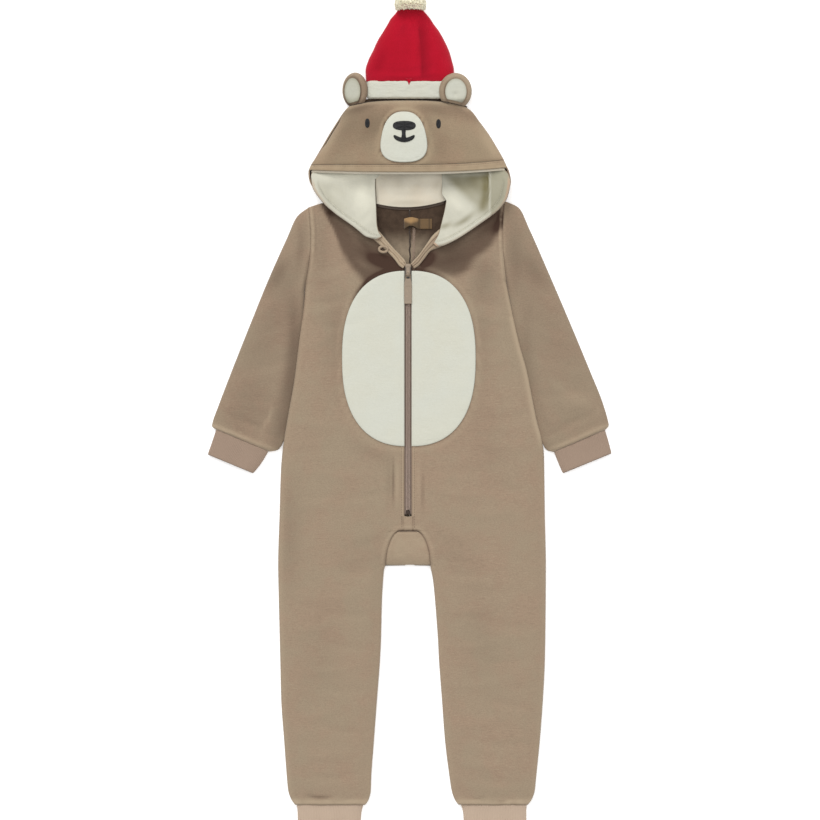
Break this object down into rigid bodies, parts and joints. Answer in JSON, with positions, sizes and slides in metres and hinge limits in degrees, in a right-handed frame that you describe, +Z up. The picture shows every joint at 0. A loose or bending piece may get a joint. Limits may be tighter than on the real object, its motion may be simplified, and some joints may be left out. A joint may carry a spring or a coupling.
{
  "type": "child's hooded bear all-in-one sleepsuit with santa hat hood",
  "caption": "Child's hooded fleece all-in-one laid flat, with a bear face and ears on its hood, a small hat with a pompom, a front zip and a round belly patch.",
  "frame": {"origin": "on the surface that the garment lies on, under the middle of its box", "axes": "+Z up from the surface to the front of the garment, +Y from the legs to the hood, +X to the wearer's left"},
  "size_m": [0.5665, 1.1781, 0.0366],
  "materials": {
    "tan_fleece": "matt brushed fleece, short soft nap",
    "tan_rib": "fine ribbed knit cuff",
    "cream_plush": "soft cream plush",
    "red_plush": "soft red plush",
    "neck_tape": "woven cotton tape",
    "bare_label": "satin woven label, bare",
    "black_thread": "satin stitch embroidery",
    "zip_tape": "woven polyester tape",
    "zip_coil": "moulded nylon coil",
    "painted_metal": "tan enamel, satin"
  },
  "bodies": {
    "garment": {"front_right": "tan_fleece", "front_left": "tan_fleece", "back_right": "tan_fleece", "back_left": "tan_fleece", "gusset": "tan_fleece", "sleeve_right": "tan_fleece", "sleeve_left": "tan_fleece", "sleeve_cuff_right": "tan_rib", "sleeve_cuff_left": "tan_rib", "leg_cuff_right": "tan_rib", "leg_cuff_left": "tan_rib", "belly_right": "cream_plush", "belly_left": "cream_plush", "neck_facing_right": "tan_fleece", "neck_facing_left": "tan_fleece", "neck_loop": "tan_rib", "neck_tape": "neck_tape", "neck_label": "bare_label", "hood_face": "tan_fleece", "hood_brim": "tan_fleece", "hood_back": "tan_fleece", "hood_side_right": "tan_fleece", "hood_side_left": "tan_fleece", "hood_lining_top": "cream_plush", "hood_lining_back": "cream_plush", "hood_lining_side_right": "cream_plush", "hood_lining_side_left": "cream_plush", "ear_right": "tan_fleece", "ear_left": "tan_fleece", "ear_inner_right": "cream_plush", "ear_inner_left": "cream_plush", "hat": "red_plush", "hat_band": "cream_plush", "pompom": "cream_plush", "muzzle": "cream_plush", "nose": "black_thread", "philtrum": "black_thread", "mouth": "black_thread", "eye_right": "black_thread", "eye_left": "black_thread", "zip_tape_right": "zip_tape", "zip_tape_left": "zip_tape", "zip_coil": "zip_coil", "zip_stop": "painted_metal", "zip_slider": "painted_metal"},
    "pull_tab": {"zip_pull": "painted_metal"}
  },
  "joints": [
    {"name": "pull_tab_hinge", "type": "hinge", "parent": "garment", "child": "pull_tab", "pos_m": [0, 0.191, 0.0153], "axis": [-1, 0, 0], "range_deg": [0, 150]}
  ]
}
